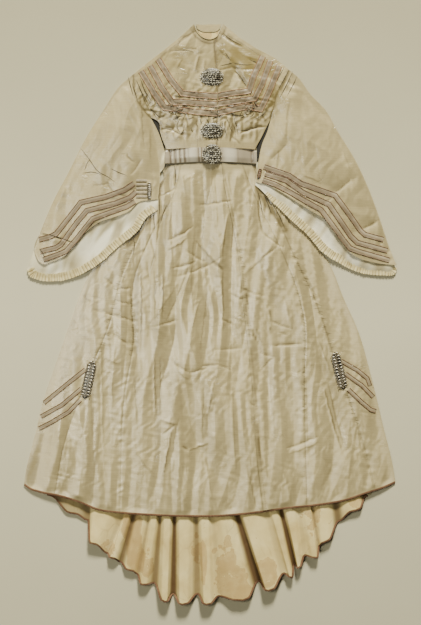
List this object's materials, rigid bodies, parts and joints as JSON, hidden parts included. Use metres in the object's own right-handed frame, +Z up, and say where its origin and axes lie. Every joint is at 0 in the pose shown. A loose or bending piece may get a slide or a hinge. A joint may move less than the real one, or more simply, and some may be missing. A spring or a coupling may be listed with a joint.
{
  "type": "afternoon dress laid flat",
  "caption": "Trained silk afternoon dress with wide open sleeves, belt, banded trim and corded ornaments, laid flat on its back.",
  "frame": {"origin": "middle of the laid dress's outline, on the surface on which it rests", "axes": "+Y from the train hem to the neck, +Z up out of the surface, +X towards the wearer's left sleeve"},
  "size_m": [1.118, 1.738, 0.028],
  "materials": {
    "silk_taffeta": "crisp warm grey-beige silk taffeta with a soft sheen",
    "sleeve_lining": "white silk",
    "cotton_lining": "aged cream cotton with brown stains",
    "ruche_ribbon": "pleated cream silk ribbon",
    "satin_band": "pinkish grey satin with dark piping",
    "belt_satin": "lavender-grey satin",
    "passementerie": "silver-grey cord and beads, corded and shiny",
    "hem_braid": "matt red-brown wool braid"
  },
  "bodies": {
    "root": {"bodice_back": "silk_taffeta", "bodice_front_right": "silk_taffeta", "bodice_front_left": "silk_taffeta", "neckband": "silk_taffeta", "neck_lining": "cotton_lining", "sleeve_back_right": "silk_taffeta", "sleeve_back_left": "silk_taffeta", "sleeve_lining_right": "sleeve_lining", "sleeve_lining_left": "sleeve_lining", "sleeve_front_right": "silk_taffeta", "sleeve_front_left": "silk_taffeta", "sleeve_ruche_right": "ruche_ribbon", "sleeve_ruche_left": "ruche_ribbon", "sleeve_band_right_1": "satin_band", "sleeve_band_right_2": "satin_band", "sleeve_band_right_3": "satin_band", "sleeve_band_left_1": "satin_band", "sleeve_band_left_2": "satin_band", "sleeve_band_left_3": "satin_band", "sleeve_tab_right": "passementerie", "sleeve_tab_left": "passementerie", "chest_band_right_1": "satin_band", "chest_band_right_2": "satin_band", "chest_band_right_3": "satin_band", "chest_band_left_1": "satin_band", "chest_band_left_2": "satin_band", "chest_band_left_3": "satin_band", "rosette_upper": "passementerie", "rosette_lower": "passementerie", "belt": "belt_satin", "belt_ornament": "passementerie", "skirt_side_front_right": "silk_taffeta", "skirt_gore_right": "silk_taffeta", "skirt_front_right": "silk_taffeta", "skirt_front_left": "silk_taffeta", "skirt_gore_left": "silk_taffeta", "skirt_side_front_left": "silk_taffeta", "skirt_back_right": "silk_taffeta", "skirt_back_left": "silk_taffeta", "train_lining": "cotton_lining", "hem_braid_front": "hem_braid", "hem_braid_train": "hem_braid", "hip_band_right_1": "satin_band", "hip_band_right_2": "satin_band", "hip_band_right_3": "satin_band", "hip_band_left_1": "satin_band", "hip_band_left_2": "satin_band", "hip_band_left_3": "satin_band", "hip_tab_right": "passementerie", "hip_tab_left": "passementerie"}
  },
  "joints": []
}
